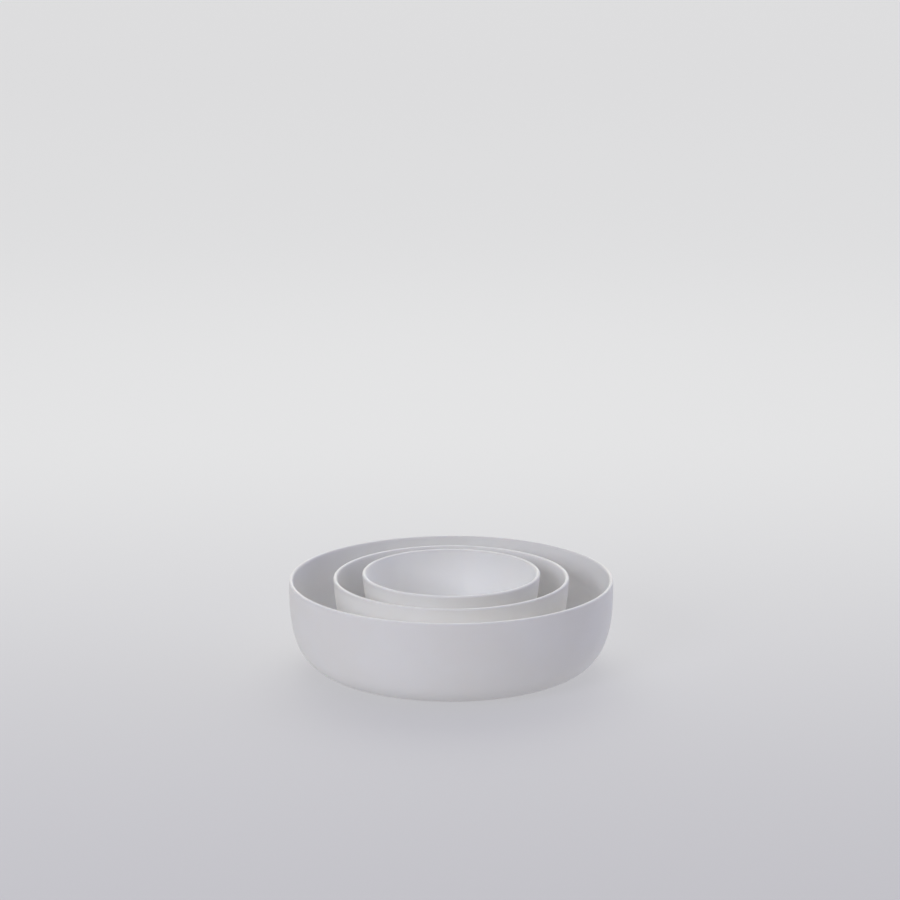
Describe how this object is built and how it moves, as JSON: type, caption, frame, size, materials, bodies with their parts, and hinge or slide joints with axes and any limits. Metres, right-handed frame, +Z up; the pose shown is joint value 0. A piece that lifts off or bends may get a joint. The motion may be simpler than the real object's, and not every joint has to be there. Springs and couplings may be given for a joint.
{
  "type": "nesting porcelain bowls",
  "caption": "Nest of open round porcelain bowls with upright thin walls, rounded corners and flat floors, each standing inside the next larger one.",
  "frame": {"origin": "centre of the large bowl's foot ring, on the plane that it stands on", "axes": "+Z up along the common axis of the bowls, out of their open mouths; X and Y are any two level directions, because the bowls are round"},
  "size_m": [0.21, 0.21, 0.0624],
  "materials": {
    "porcelain": "fine matt unglazed porcelain outside and on the lip, clear satin glaze inside"
  },
  "bodies": {
    "large": {"large_bowl": "porcelain"},
    "medium": {"medium_bowl": "porcelain"},
    "small": {"small_bowl": "porcelain"}
  },
  "joints": [
    {"name": "medium_lift", "type": "slide", "parent": "large", "child": "medium", "axis": [0, 0, 1], "range_m": [0, 0.08]},
    {"name": "small_lift", "type": "slide", "parent": "medium", "child": "small", "axis": [0, 0, 1], "range_m": [0, 0.08]}
  ]
}
